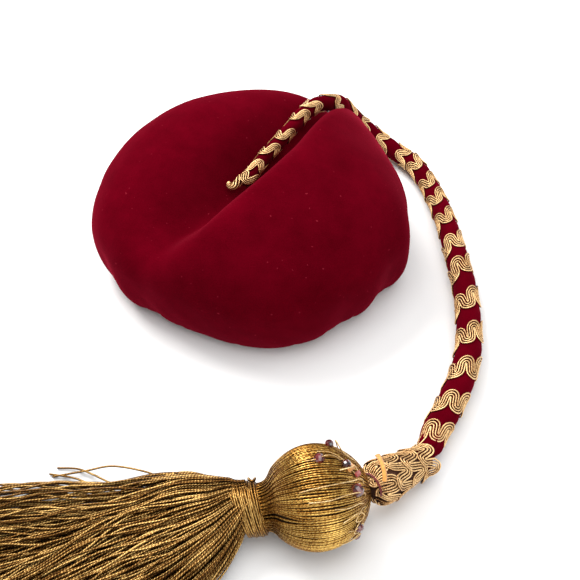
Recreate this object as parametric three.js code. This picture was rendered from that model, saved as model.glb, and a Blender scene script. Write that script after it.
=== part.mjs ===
import * as THREE from 'three';

// Fez hat: a soft velvet crown with one deep fold, a stem wound with gold braid, and a tassel.
// Millimetres, +Z up. The hem of the crown stands on z = 0 and its centre is x = y = 0.

const DEG = Math.PI / 180;

// Crown
const halfWidth = 101.5;
const squareness = 2.1;
const crownHeight = 92.5;
const widestZ = 40;
const hemRatio = 0.85;
const topRoundness = 2.1;
const wall = 3;
const hemLip = 5;
const planShift = [1.9, -0.9];
// turns round the crown, cosine part, sine part
const planWaves = [
  [3, -0.027, -0.022],
  [4, 0.013, -0.007],
  [5, 0.008, -0.016],
];

// Fold across the top: where it lies, how wide each side is, how deep it is along its length
const fold = {
  x: -0.1, y: -5.9, turn: 50, bend: -7, bendLength: 80, swell: 3.5, swellAt: 68, swellLength: 30,
  farSteep: 26, farWide: 66, farMix: 0.55, fade: 0.7,
};
// distance along the fold, width of its near side
const nearWidth = [[-125, 15], [0, 15], [40, 13], [70, 11], [125, 9]];
// distance along the fold, depth
const foldDepth = [
  [-125, 0], [-102, 5], [-78, 17], [-50, 31], [-20, 41],
  [5, 45], [35, 44], [65, 40], [90, 34], [125, 22],
];
const nearLobe = { lift: 5, at: -30, width: 24, length: 90 };
// where the fold runs out over the side and the stem lies in it: angle, depth, width in degrees
const notch = { angle: 56, depth: 6, width: 8, z: 44, rise: 20 };

// Hem gathers: how high they reach, then angle, depth inward, width in degrees
const gatherHeight = 64;
const gathers = [
  [14, 2, 5], [-9, 3.5, 6], [-22, -6, 6.5], [-33, 1.5, 4], [-43, -1.5, 5],
  [-54, 1.5, 4], [-66, -1.5, 6], [-80, -1.5, 10], [-108, 1, 8], [-133, 1.5, 4],
  [-143, -2.5, 6], [-153, 1.5, 4], [-163, -1.5, 6], [177, 3, 5], [160, -1.5, 8],
  [140, 2, 5], [115, 2, 6], [90, -1, 10], [62, 2, 5], [38, 2, 6],
];

// Stem: centreline, then radius by distance along it
const stemPoints = [
  [-6.2, -2.6, 58.2], [-0.2, 4.1, 58.2], [4.7, 14.0, 58.5], [9.3, 22.0, 58.9],
  [14.8, 30.0, 59.3], [24.1, 44.2, 60.0], [34.9, 62.8, 60.3], [41.2, 70.1, 60.3],
  [46.8, 74.1, 60.2], [52.0, 77.8, 58.3], [56.1, 82.7, 53.9], [60.5, 88.4, 48.7],
  [64.7, 92.8, 41.8], [68.7, 95.3, 34.7], [73.2, 95.8, 27.5], [78.9, 95.6, 21.4],
  [85.0, 93.9, 16.3], [91.5, 90.4, 12.6], [98.4, 85.1, 10.3], [105.3, 79.0, 9.2],
  [111.8, 72.9, 8.8], [117.0, 65.5, 8.7], [123.5, 50.9, 8.6], [129.1, 32.6, 8.8],
  [133.0, 13.8, 9.1], [136.3, -9.0, 9.3], [138.8, -31.9, 9.5], [140.6, -52.1, 9.7],
  [140.3, -73.2, 9.9], [138.8, -93.5, 10.1], [134.9, -112.4, 10.3], [129.0, -128.2, 10.4],
  [122.1, -142.9, 10.5], [115.5, -155.1, 10.7], [109.8, -165.9, 11.3], [106.6, -172.4, 11.9],
  [104.4, -177.4, 12.3],
];
const stemRadius = [
  [0, 3.2], [8, 3.9], [30, 4.1], [60, 4.4], [85, 4.9], [110, 5.4], [190, 6.1],
  [240, 6.4], [300, 7.2], [360, 7.7], [420, 8.0], [442, 7.6], [453, 6.2], [458, 5.0],
];
const stemSides = 10;
const stemStep = 8;
// Curled end of the braid at the stem's first ring: centreline, radius at each point
const tipPoints = [
  [-6.9, -3.2, 57.9], [-8.5, -4.6, 57.6], [-10.3, -5.6, 57.6], [-12.2, -5.9, 58.4], [-13.2, -5.0, 60.0],
];
const tipRadii = [3.4, 3.1, 2.3, 1.9, 1.3];
const tipSides = 8;

// Braid: the distances along the stem where each turn faces up
const turnsAt = [
  5, 16, 34, 50.5, 72.5, 88, 110, 134, 152, 172, 193,
  207, 227, 244, 264, 288, 310, 339, 367, 394, 421, 445, 467,
];
const braid = { clear: 0.95, thick: 1.1, stepsPerTurn: 12, from: -0.2, to: 21.25, firstPitch: 10 };
// turn, half the braid's width
const braidHalfWidth = [[-0.2, 3.4], [0, 4.5], [1, 5], [2, 5.6], [20, 5.6], [21, 5.2], [21.25, 3.4]];
const lookSide = [0, -0.643, 0.766];

// Tassel
const ball = { centre: [40.1, -215.9, 29.5], radius: 28.9, turn: 8.5, sag: [0, 4, -7] };
const collarEnds = [[70.8, -205.9, 22.4], [101.9, -182.2, 12.4]];
// distance from the ball end, radius
const collarProfile = [
  [0, 5], [2, 9.5], [5, 12], [9, 12.6], [14, 11.6], [19, 11.8], [24, 10.4], [29, 10.3],
  [34, 9], [38, 8.8], [41, 9.6], [42.5, 8.6],
];
const neckEnds = [[11.2, -216.6, 19.0], [-3.2, -217.6, 18.2]];
// share of the length, radius
const neckProfile = [[0, 13], [0.12, 14.6], [0.4, 15.1], [0.7, 15], [0.9, 14.6], [1, 13.2]];
const skirt = {
  length: 160, width: 14, height: 14.5, locks: 8, turn: 203, spread: 36, gather: 10,
  clear: 1.6, drop: 0.35, thin: 0.8, edge: 0.25,
  tipLow: 3, ridge: 0.16, ridgeFrom: 20, tipVary: 7, tipSharp: 6,
};
const skirtRows = [0, 10, 22, 40, 62, 88, 118, 145, 160];
// beads: angle from the collar end of the ball, angle round it, radius
const beads = [
  [70, 44, 2.6], [86, 78, 3.0], [57, 83, 2.8], [49, 117, 3.8],
  [50, 172, 2.8], [50, 212, 2.6], [52, 238, 2.6], [54, 330, 2.6],
];
const beadClear = 0.05;
const tape = { width: 3.2, thick: 0.9 };
// distance along the collar, angle round it, radius of the tape's underside
const tapeRows = [[12, 46, 13.5], [9.5, 61, 13.1], [6.8, 77, 13.0], [4.2, 92, 12.9], [1.6, 106, 12.4]];

// numbers and vectors

const add = (a, b) => a.map((v, i) => v + b[i]);
const sub = (a, b) => a.map((v, i) => v - b[i]);
const mul = (a, k) => a.map((v) => v * k);
const dot = (a, b) => a[0] * b[0] + a[1] * b[1] + a[2] * b[2];
const cross = (a, b) => [
  a[1] * b[2] - a[2] * b[1],
  a[2] * b[0] - a[0] * b[2],
  a[0] * b[1] - a[1] * b[0],
];
const unit = (a) => mul(a, 1 / Math.hypot(...a));
const clamp = (v, lo, hi) => Math.min(hi, Math.max(lo, v));
const bell = (v) => Math.exp(-v * v);

// smooth curve through the rows of a two-column table
function fromTable(rows, at) {
  const x = clamp(at, rows[0][0], rows[rows.length - 1][0]);
  let i = 0;
  while (i < rows.length - 2 && x > rows[i + 1][0]) i += 1;
  const slope = (k) => {
    const a = rows[Math.max(k - 1, 0)];
    const b = rows[Math.min(k + 1, rows.length - 1)];
    return (b[1] - a[1]) / (b[0] - a[0]);
  };
  const h = rows[i + 1][0] - rows[i][0];
  const t = (x - rows[i][0]) / h;
  const t2 = t * t;
  const t3 = t2 * t;
  return rows[i][1] * (2 * t3 - 3 * t2 + 1) + slope(i) * h * (t3 - 2 * t2 + t)
    + rows[i + 1][1] * (3 * t2 - 2 * t3) + slope(i + 1) * h * (t3 - t2);
}

// solids from rings

// closed solid from vertices and faces, turned to face out
function solid(name, verts, faces, material) {
  let volume = 0;
  for (const [a, b, c] of faces) volume += dot(verts[a], cross(verts[b], verts[c]));
  const index = volume < 0 ? faces.map(([a, b, c]) => [a, c, b]) : faces;
  const geometry = new THREE.BufferGeometry();
  geometry.setAttribute('position', new THREE.Float32BufferAttribute(verts.flat(), 3));
  geometry.setIndex(index.flat());
  geometry.computeVertexNormals();
  const mesh = new THREE.Mesh(geometry, material);
  mesh.name = name;
  return mesh;
}

// rings of equal count between two end points
function loft(name, start, rings, end, material) {
  const verts = [start, ...rings.flat(), end];
  const n = rings[0].length;
  const last = verts.length - 1;
  const faces = [];
  const id = (i, j) => 1 + i * n + (j % n);
  for (let j = 0; j < n; j += 1) {
    faces.push([0, id(0, j), id(0, j + 1)]);
    faces.push([last, id(rings.length - 1, j + 1), id(rings.length - 1, j)]);
  }
  for (let i = 0; i + 1 < rings.length; i += 1) {
    for (let j = 0; j < n; j += 1) {
      faces.push([id(i, j), id(i + 1, j), id(i + 1, j + 1)]);
      faces.push([id(i, j), id(i + 1, j + 1), id(i, j + 1)]);
    }
  }
  return solid(name, verts, faces, material);
}

// round solid along the line between two points
function turned(name, ends, profile, sides, material) {
  const axis = unit(sub(ends[1], ends[0]));
  const side = unit(cross([0, 0, 1], axis));
  const up = cross(axis, side);
  const rings = profile.map(([at, r]) => {
    const ring = [];
    for (let j = 0; j < sides; j += 1) {
      const a = (2 * Math.PI * j) / sides;
      const out = add(mul(side, r * Math.cos(a)), mul(up, r * Math.sin(a)));
      ring.push(add(add(ends[0], mul(axis, at)), out));
    }
    return ring;
  });
  const start = add(ends[0], mul(axis, profile[0][0]));
  const end = add(ends[0], mul(axis, profile[profile.length - 1][0]));
  return loft(name, start, rings, end, material);
}

// crown

// point of the outside: u is 0 at the top, 1 at the widest place, 2 at the hem
function crownPoint(theta, u) {
  const c = Math.cos(theta);
  const s = Math.sin(theta);
  let reach = (Math.abs(c / halfWidth) ** squareness + Math.abs(s / halfWidth) ** squareness)
    ** (-1 / squareness);
  let wave = 1;
  for (const [turns, cosPart, sinPart] of planWaves) {
    wave += cosPart * Math.cos(turns * theta) + sinPart * Math.sin(turns * theta);
  }
  reach *= wave;
  let rho = 0;
  let z = 0;
  if (u <= 1) {
    rho = Math.sin((u * Math.PI) / 2) ** (2 / topRoundness);
    z = widestZ + (crownHeight - widestZ) * Math.cos((u * Math.PI) / 2);
  } else {
    rho = hemRatio + (1 - hemRatio) * Math.cos(((u - 1) * Math.PI) / 2);
    z = widestZ * (1 - Math.sin(((u - 1) * Math.PI) / 2));
  }
  let x = rho * reach * c + planShift[0];
  let y = rho * reach * s + planShift[1];
  const ct = Math.cos(fold.turn * DEG);
  const st = Math.sin(fold.turn * DEG);
  const along = (x - fold.x) * ct + (y - fold.y) * st;
  const across = (y - fold.y) * ct - (x - fold.x) * st + fold.bend * (along / fold.bendLength) ** 2
    - fold.swell * bell((along - fold.swellAt) / fold.swellLength);
  const far = fold.farMix * bell(across / fold.farSteep)
    + (1 - fold.farMix) * bell(across / fold.farWide);
  const shape = across >= 0 ? far : bell(across / fromTable(nearWidth, along));
  const share = clamp((z - widestZ) / (crownHeight - widestZ), 0, 1) ** fold.fade;
  z -= fromTable(foldDepth, along) * shape * share;
  z += nearLobe.lift * share * Math.exp(
    -(((across - nearLobe.at) / nearLobe.width) ** 2) - (along / nearLobe.length) ** 2,
  );
  const low = clamp(1 - z / gatherHeight, 0, 1);
  let shrink = 1;
  for (const [angle, depth, width] of gathers) {
    const off = ((((theta / DEG - angle + 180) % 360) + 360) % 360) - 180;
    shrink *= 1 - (depth * bell(off / width) * low) / reach;
  }
  const off = ((((theta / DEG - notch.angle + 180) % 360) + 360) % 360) - 180;
  shrink *= 1 - (notch.depth * bell(off / notch.width) * bell((z - notch.z) / notch.rise)) / reach;
  x *= shrink;
  y *= shrink;
  return [x, y, z];
}

function crownNormal(theta, u) {
  const e = 0.004;
  const lo = clamp(u - e, 0.01, 2);
  const hi = clamp(u + e, 0.02, 2);
  const down = sub(crownPoint(theta, hi), crownPoint(theta, lo));
  const round = sub(crownPoint(theta + e, u), crownPoint(theta - e, u));
  return unit(cross(down, round));
}

function crown(material) {
  const around = 64;
  const levels = [];
  for (let i = 1; i <= 17; i += 1) levels.push(i / 17);
  for (let i = 1; i <= 6; i += 1) levels.push(1 + i / 6);
  const outer = [];
  const inner = [];
  for (const u of levels) {
    const a = [];
    const b = [];
    for (let j = 0; j < around; j += 1) {
      const theta = (2 * Math.PI * j) / around;
      const p = crownPoint(theta, u);
      const n = u === 2 ? [0, 0, -1] : crownNormal(theta, u);
      a.push(p);
      b.push(sub(p, mul(n, wall)));
    }
    outer.push(a);
    inner.push(b);
  }
  const lip = (z) => outer[outer.length - 1].map(([x, y]) => {
    const k = 1 - hemLip / Math.hypot(x, y);
    return [x * k, y * k, z];
  });
  const top = crownPoint(0, 0);
  const topNormal = crownNormal(0, 0.03);
  const rings = [...outer, lip(0), lip(wall), ...inner.reverse()];
  return loft('crown', top, rings, sub(top, mul(topNormal, wall)), material);
}

// stem and braid

function sampledPath(points) {
  const p = [
    sub(mul(points[0], 2), points[1]),
    ...points,
    sub(mul(points[points.length - 1], 2), points[points.length - 2]),
  ];
  const out = [];
  const parts = 12;
  for (let i = 1; i + 2 < p.length; i += 1) {
    for (let k = 0; k < parts; k += 1) {
      const t = k / parts;
      out.push([0, 1, 2].map((c) => 0.5 * (2 * p[i][c] + (p[i + 1][c] - p[i - 1][c]) * t
        + (2 * p[i - 1][c] - 5 * p[i][c] + 4 * p[i + 1][c] - p[i + 2][c]) * t * t
        + (3 * p[i][c] - p[i - 1][c] - 3 * p[i + 1][c] + p[i + 2][c]) * t * t * t)));
    }
  }
  out.push(points[points.length - 1]);
  const at = [0];
  for (let i = 1; i < out.length; i += 1) at.push(at[i - 1] + Math.hypot(...sub(out[i], out[i - 1])));
  return { out, at, length: at[at.length - 1] };
}

const path = sampledPath(stemPoints);

function stemAt(s) {
  const x = clamp(s, 0, path.length);
  let i = 0;
  while (i < path.at.length - 2 && x > path.at[i + 1]) i += 1;
  const t = (x - path.at[i]) / (path.at[i + 1] - path.at[i]);
  return add(mul(path.out[i], 1 - t), mul(path.out[i + 1], t));
}

// place, direction and the two sides of the stem; the first side faces up and to the front
function stemFrame(s) {
  const p = stemAt(s);
  const dir = unit(sub(stemAt(s + 2), stemAt(s - 2)));
  const up = unit(sub(lookSide, mul(dir, dot(lookSide, dir))));
  return { p, dir, up, side: cross(dir, up) };
}

function aroundStem(s, angle, radius) {
  const { p, up, side } = stemFrame(s);
  return add(p, add(mul(up, radius * Math.cos(angle)), mul(side, radius * Math.sin(angle))));
}

function stem(material) {
  const count = Math.round(path.length / stemStep);
  const rings = [];
  for (let i = 0; i <= count; i += 1) {
    const s = (path.length * i) / count;
    const ring = [];
    for (let j = 0; j < stemSides; j += 1) {
      ring.push(aroundStem(s, (2 * Math.PI * j) / stemSides, fromTable(stemRadius, s)));
    }
    rings.push(ring);
  }
  return loft('stem', stemPoints[0], rings, stemPoints[stemPoints.length - 1], material);
}

function stemBraid(material) {
  const rows = turnsAt.map((s, k) => [k, s]);
  const count = Math.round((braid.to - braid.from) * braid.stepsPerTurn);
  const rings = [];
  const mids = [];
  for (let i = 0; i <= count; i += 1) {
    const turn = braid.from + (i * (braid.to - braid.from)) / count;
    const angle = turn * 2 * Math.PI;
    const s = turn < 0 ? turnsAt[0] + turn * braid.firstPitch : fromTable(rows, turn);
    const inner = (x) => aroundStem(x, angle, fromTable(stemRadius, x) + braid.clear);
    const outer = (x) => aroundStem(
      x,
      angle,
      fromTable(stemRadius, x) + braid.clear + braid.thick,
    );
    const lo = s - fromTable(braidHalfWidth, turn);
    const hi = s + fromTable(braidHalfWidth, turn);
    const ring = [inner(lo), outer(lo), outer(hi), inner(hi)];
    rings.push(ring);
    mids.push(mul(ring.reduce(add), 0.25));
  }
  return loft('stem_braid', mids[0], rings, mids[mids.length - 1], material);
}

// curled braid end in front of the stem's first ring
function stemTip(material) {
  const last = tipPoints.length - 1;
  const rings = tipPoints.map((p, i) => {
    const dir = unit(sub(tipPoints[Math.min(i + 1, last)], tipPoints[Math.max(i - 1, 0)]));
    const side = unit(cross([0, 0, 1], dir));
    const up = cross(dir, side);
    const ring = [];
    for (let j = 0; j < tipSides; j += 1) {
      const a = (2 * Math.PI * j) / tipSides;
      const r = tipRadii[i];
      ring.push(add(p, add(mul(side, r * Math.cos(a)), mul(up, r * Math.sin(a)))));
    }
    return ring;
  });
  return loft('stem_tip', tipPoints[0], rings, tipPoints[last], material);
}

// tassel

const ballAxis = [Math.cos(ball.turn * DEG), Math.sin(ball.turn * DEG), 0];
const ballSide = [-Math.sin(ball.turn * DEG), Math.cos(ball.turn * DEG), 0];

// polar is measured from the collar end; both ends hang a little lower than the middle
function ballPoint(polar, azimuth, radius) {
  const t = Math.cos(polar);
  const r = radius * Math.sin(polar);
  let p = add(ball.centre, mul(ballAxis, radius * t));
  p = add(p, mul(ballSide, r * Math.cos(azimuth)));
  p = add(p, [0, 0, r * Math.sin(azimuth)]);
  return add(p, mul(ball.sag, t * t));
}

function tasselBall(material) {
  const sides = 18;
  const rows = 10;
  const rings = [];
  for (let i = 1; i < rows; i += 1) {
    const ring = [];
    for (let j = 0; j < sides; j += 1) {
      ring.push(ballPoint((Math.PI * i) / rows, (2 * Math.PI * j) / sides, ball.radius));
    }
    rings.push(ring);
  }
  const start = ballPoint(0, 0, ball.radius);
  return loft('tassel_ball', start, rings, ballPoint(Math.PI, 0, ball.radius), material);
}

// skirt surface: v runs across the fan from -1 to 1, r from the neck to the tips
function skirtPoint(v, r, upper) {
  const turn = (skirt.turn - v * (skirt.spread - (skirt.gather * r) / skirt.length)) * DEG;
  const start = [neckEnds[1][0] - skirt.clear, neckEnds[1][1] + skirt.width * v];
  const x = start[0] + r * Math.cos(turn);
  const y = start[1] + r * Math.sin(turn);
  const k = clamp(r / skirt.length, 0, 1);
  const round = Math.sqrt(Math.max(0, 1 - v * v));
  const lockPhase = Math.abs(Math.cos((Math.PI * skirt.locks * (v + 1)) / 2));
  const ridge = 1 - skirt.ridge * lockPhase * Math.min(1, r / skirt.ridgeFrom);
  const middle = skirt.height * (1 - k) ** skirt.thin + skirt.tipLow * k;
  const half = middle * (skirt.edge + (1 - skirt.edge) * round) * ridge;
  const mid = Math.max(neckEnds[1][2] - r * skirt.drop, half);
  return [x, y, upper ? mid + half : Math.max(mid - half, 0)];
}

function tasselSkirt(material) {
  const columns = skirt.locks * 3;
  const rows = skirtRows;
  const verts = [];
  const id = (upper, i, j) => (upper ? 0 : rows.length * (columns + 1)) + i * (columns + 1) + j;
  for (const upper of [true, false]) {
    for (const r of rows) {
      for (let j = 0; j <= columns; j += 1) {
        const v = (2 * j) / columns - 1;
        const vary = skirt.tipVary * Math.cos((Math.PI * skirt.locks * (v + 1)));
        verts.push(skirtPoint(v, r + vary * (r / skirt.length) ** skirt.tipSharp, upper));
      }
    }
  }
  const faces = [];
  const quad = (a, b, c, d) => {
    faces.push([a, b, c]);
    faces.push([a, c, d]);
  };
  const last = rows.length - 1;
  for (let i = 0; i < last; i += 1) {
    for (let j = 0; j < columns; j += 1) {
      quad(id(true, i, j), id(true, i + 1, j), id(true, i + 1, j + 1), id(true, i, j + 1));
      quad(id(false, i, j), id(false, i, j + 1), id(false, i + 1, j + 1), id(false, i + 1, j));
    }
    quad(id(true, i, 0), id(false, i, 0), id(false, i + 1, 0), id(true, i + 1, 0));
    quad(id(true, i, columns), id(true, i + 1, columns), id(false, i + 1, columns), id(false, i, columns));
  }
  for (let j = 0; j < columns; j += 1) {
    quad(id(true, 0, j), id(true, 0, j + 1), id(false, 0, j + 1), id(false, 0, j));
    quad(id(true, last, j), id(false, last, j), id(false, last, j + 1), id(true, last, j + 1));
  }
  return solid('tassel_skirt', verts, faces, material);
}

function bead(index, material) {
  const [polar, azimuth, r] = beads[index];
  const centre = ballPoint(polar * DEG, azimuth * DEG, ball.radius + r + beadClear);
  const geometry = new THREE.IcosahedronGeometry(r, 1);
  geometry.translate(...centre);
  const mesh = new THREE.Mesh(geometry, material);
  mesh.name = `bead_${index + 1}`;
  return mesh;
}

function looseTape(material) {
  const axis = unit(sub(collarEnds[1], collarEnds[0]));
  const side = unit(cross([0, 0, 1], axis));
  const up = cross(axis, side);
  const rings = tapeRows.map(([s, angle, low]) => {
    const out = add(mul(side, Math.cos(angle * DEG)), mul(up, Math.sin(angle * DEG)));
    const at = add(collarEnds[0], mul(axis, s));
    const corner = (w, r) => add(at, add(mul(axis, (w * tape.width) / 2), mul(out, r)));
    return [
      corner(-1, low), corner(1, low),
      corner(1, low + tape.thick), corner(-1, low + tape.thick),
    ];
  });
  const mid = (ring) => mul(ring.reduce(add), 0.25);
  return loft('loose_tape', mid(rings[0]), rings, mid(rings[rings.length - 1]), material);
}

// materials and the part

const cloth = (color) => new THREE.MeshStandardMaterial({ color, roughness: 0.95, metalness: 0 });
const velvet = cloth(0x6a0014);
const gimp = new THREE.MeshStandardMaterial({ color: 0xc8964a, roughness: 0.45, metalness: 0.5 });
const goldThread = new THREE.MeshStandardMaterial({ color: 0xa8761c, roughness: 0.45, metalness: 0.5 });
const garnet = new THREE.MeshStandardMaterial({ color: 0x4a0a0a, roughness: 0.2, metalness: 0 });
const tapeCloth = cloth(0xe08a2c);

const part = new THREE.Group();
part.name = 'fez_hat';
part.add(crown(velvet));
part.add(stem(velvet));
part.add(stemBraid(gimp));
part.add(stemTip(gimp));
part.add(turned('collar', collarEnds, collarProfile, 14, gimp));
part.add(tasselBall(goldThread));
const neckLength = Math.hypot(...sub(neckEnds[1], neckEnds[0]));
part.add(turned('tassel_neck', neckEnds, neckProfile.map(([k, r]) => [k * neckLength, r]), 16, goldThread));
part.add(tasselSkirt(goldThread));
for (let i = 0; i < beads.length; i += 1) part.add(bead(i, garnet));
part.add(looseTape(tapeCloth));

export default part;
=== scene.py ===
import math
import bpy
import numpy as np
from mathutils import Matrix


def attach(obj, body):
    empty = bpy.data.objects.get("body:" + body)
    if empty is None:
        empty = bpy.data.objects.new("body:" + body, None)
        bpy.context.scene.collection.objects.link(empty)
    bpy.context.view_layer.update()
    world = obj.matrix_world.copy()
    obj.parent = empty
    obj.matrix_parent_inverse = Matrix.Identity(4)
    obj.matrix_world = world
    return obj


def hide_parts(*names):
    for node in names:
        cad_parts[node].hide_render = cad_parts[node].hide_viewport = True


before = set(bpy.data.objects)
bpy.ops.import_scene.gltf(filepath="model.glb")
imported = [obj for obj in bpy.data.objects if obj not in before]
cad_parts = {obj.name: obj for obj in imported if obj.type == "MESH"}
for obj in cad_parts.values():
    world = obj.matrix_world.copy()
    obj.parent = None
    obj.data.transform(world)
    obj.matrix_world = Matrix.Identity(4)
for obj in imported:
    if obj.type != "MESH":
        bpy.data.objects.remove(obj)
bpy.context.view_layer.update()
mm = 0.001
tau = 2 * math.pi


# Small helpers on arrays

def unit(v):
    # v / |v|
    return v / np.maximum(np.linalg.norm(v, axis=-1, keepdims=True), 1e-9)


def bell(x):
    # exp(-x^2)
    return np.exp(-x * x)


def ease(x, lo, hi):
    # 0 below lo, 1 above hi, 3t^2 - 2t^3 between
    t = np.clip((x - lo) / (hi - lo), 0, 1)
    return t * t * (3 - 2 * t)


def degreesOff(theta, angle):
    # theta, in radians, less angle, in degrees: -180 to 180 degrees
    return (np.degrees(theta) - angle + 180) % 360 - 180


def grid(rows, around):
    # every row value with every angle round, as two arrays
    return np.meshgrid(rows, np.arange(around) / around * tau, indexing="ij")


def wheel(angle, first, second):
    # cos(angle) * first + sin(angle) * second
    return np.cos(angle)[..., None] * first + np.sin(angle)[..., None] * second


def aroundAxis(ends, s, angle, radius):
    # distance s from the first end towards the second, then radius out at an angle round that line
    a, b = (np.array(p) for p in ends)
    axis = unit(b - a)
    side = unit(np.cross([0, 0, 1.0], axis))
    return a + s[..., None] * axis + radius[..., None] * wheel(angle, side, np.cross(axis, side))


def fromTable(rows, x):
    # cubic through the table's rows, slopes taken between each row's two neighbours
    at, value = np.array(rows, float).T
    slope = np.empty(len(at))
    slope[1:-1] = (value[2:] - value[:-2]) / (at[2:] - at[:-2])
    slope[0] = (value[1] - value[0]) / (at[1] - at[0])
    slope[-1] = (value[-1] - value[-2]) / (at[-1] - at[-2])
    x = np.clip(x, at[0], at[-1])
    i = np.clip(np.searchsorted(at, x, side="right") - 1, 0, len(at) - 2)
    h = at[i + 1] - at[i]
    t = (x - at[i]) / h
    return (value[i] * (2 * t**3 - 3 * t**2 + 1) + slope[i] * h * (t**3 - 2 * t**2 + t)
            + value[i + 1] * (3 * t**2 - 2 * t**3) + slope[i + 1] * h * (t**3 - t**2))


def newMesh(name, verts, loops, starts, uv=None, tone=None):
    # vertices in mm become a smooth mesh in metres; starts holds each face's first loop
    mesh = bpy.data.meshes.new(name)
    mesh.vertices.add(len(verts))
    mesh.vertices.foreach_set("co", (verts * mm).astype(np.float32).ravel())
    mesh.loops.add(len(loops))
    mesh.loops.foreach_set("vertex_index", loops.astype(np.int32))
    mesh.polygons.add(len(starts))
    mesh.polygons.foreach_set("loop_start", starts.astype(np.int32))
    mesh.polygons.foreach_set("use_smooth", np.ones(len(starts), bool))
    if uv is not None:
        mesh.uv_layers.new(name="UVMap").data.foreach_set("uv", uv.astype(np.float32).ravel())
    mesh.update(calc_edges=True)
    if tone is not None:
        mesh.attributes.new("tone", "FLOAT", "POINT").data.foreach_set("value", tone.astype(np.float32))
    piece = bpy.data.objects.new(name, mesh)
    bpy.context.scene.collection.objects.link(piece)
    return piece


def ringSurface(name, rings, start, end):
    # rings (k, n, 3) joined in order and closed by a fan to a point at each end; a face looks away from
    # the axis where its ring turns right-handed about the way that the rings run
    k, n, _ = rings.shape
    verts = np.concatenate([rings.reshape(-1, 3), [start, end]])
    i, j = np.meshgrid(np.arange(k - 1), np.arange(n), indexing="ij")
    at = lambda a, b: a * n + b % n
    quads = np.stack([at(i, j + 1), at(i + 1, j + 1), at(i + 1, j), at(i, j)], -1).reshape(-1, 4)
    j = np.arange(n)
    near = np.stack([at(0, j + 1), at(0, j), np.full(n, k * n)], -1)
    far = np.stack([at(k - 1, j), at(k - 1, j + 1), np.full(n, k * n + 1)], -1)
    loops = np.concatenate([quads.ravel(), near.ravel(), far.ravel()])
    starts = np.concatenate([np.arange(len(quads)) * 4, quads.size + np.arange(2 * n) * 3])
    return newMesh(name, verts, loops, starts)


def smoothRoute(points, parts=24):
    # cubic through the points, as many parts between each two, and the distance along it
    x = np.linspace(0, len(points) - 1, (len(points) - 1) * parts + 1)
    curve = np.stack([fromTable(list(enumerate(column)), x) for column in zip(*points)], -1)
    at = np.append(0, np.cumsum(np.linalg.norm(np.diff(curve, axis=0), axis=1)))
    return curve, at


def onRoute(curve, at, s):
    # the curve's points at distances s
    return np.stack([np.interp(s, at, curve[:, c]) for c in range(3)], -1)


def evenRoute(points, parts, steps):
    # the smooth curve through the points, at even distances
    curve, at = smoothRoute(points, parts)
    return onRoute(curve, at, np.linspace(0, at[-1], steps))


def tubes(name, centre, outward, radius, sides, tone=None):
    # centre (t, m, 3): at each point a ring, radius * (cos a * up + sin a * side), up towards outward;
    # radius is one number, or one for each corner of each ring; uv: mm along the tube, turns round it
    t, m, _ = centre.shape
    along = unit(np.gradient(centre, axis=1))
    side = unit(np.cross(along, outward))
    up = np.cross(side, along)
    a = np.arange(sides) / sides * tau
    radius = np.broadcast_to(radius, (t, m, sides))
    ring = centre[:, :, None] + radius[..., None] * wheel(a, up[:, :, None], side[:, :, None])
    length = np.concatenate([np.zeros((t, 1)), np.cumsum(
        np.linalg.norm(np.diff(centre, axis=1), axis=-1), axis=1)], axis=1)
    k, i, j = np.meshgrid(np.arange(t), np.arange(m - 1), np.arange(sides), indexing="ij")
    at = lambda q, r, s: (q * m + r) * sides + s % sides
    quads = np.stack([at(k, i, j + 1), at(k, i + 1, j + 1), at(k, i + 1, j), at(k, i, j)], -1)
    u = np.stack([length[k, i], length[k, i + 1], length[k, i + 1], length[k, i]], -1)
    v = np.stack([j + 1, j + 1, j, j], -1) / sides
    uv = np.stack([u, v], -1).reshape(-1, 2)
    k, j = np.meshgrid(np.arange(t), np.arange(sides), indexing="ij")
    back = sides - 1 - j
    caps = np.concatenate([at(k, 0, back), at(k, m - 1, j)])
    capUv = np.stack([length[:, [0, -1]].T[..., None] + 0 * j, np.stack([back, back]) / sides], -1)
    uv = np.concatenate([uv, capUv.reshape(-1, 2)])
    loops = np.concatenate([quads.ravel(), caps.ravel()])
    starts = np.concatenate([np.arange(quads.size // 4) * 4, quads.size + np.arange(2 * t) * sides])
    if tone is not None:
        tone = np.repeat(np.broadcast_to(np.reshape(tone, (t, -1)), (t, m)).ravel(), sides)
    return newMesh(name, ring.reshape(-1, 3), loops, starts, uv, tone)


# Materials: sockets with arithmetic, and one way to make any other node

class Wire:
    # a socket that takes part in arithmetic; each operator adds a Math node
    def __init__(self, paint, socket):
        self.paint = paint
        self.socket = socket

    def join(self, operation, first, second):
        return self.paint.node("ShaderNodeMath", {"operation": operation}, {0: first, 1: second})

    def __add__(self, other):
        return self.join("ADD", self, other)

    def __radd__(self, other):
        return self.join("ADD", other, self)

    def __sub__(self, other):
        return self.join("SUBTRACT", self, other)

    def __rsub__(self, other):
        return self.join("SUBTRACT", other, self)

    def __mul__(self, other):
        return self.join("MULTIPLY", self, other)

    def __rmul__(self, other):
        return self.join("MULTIPLY", other, self)

    def sine(self):
        return self.join("SINE", self, 0)


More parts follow.
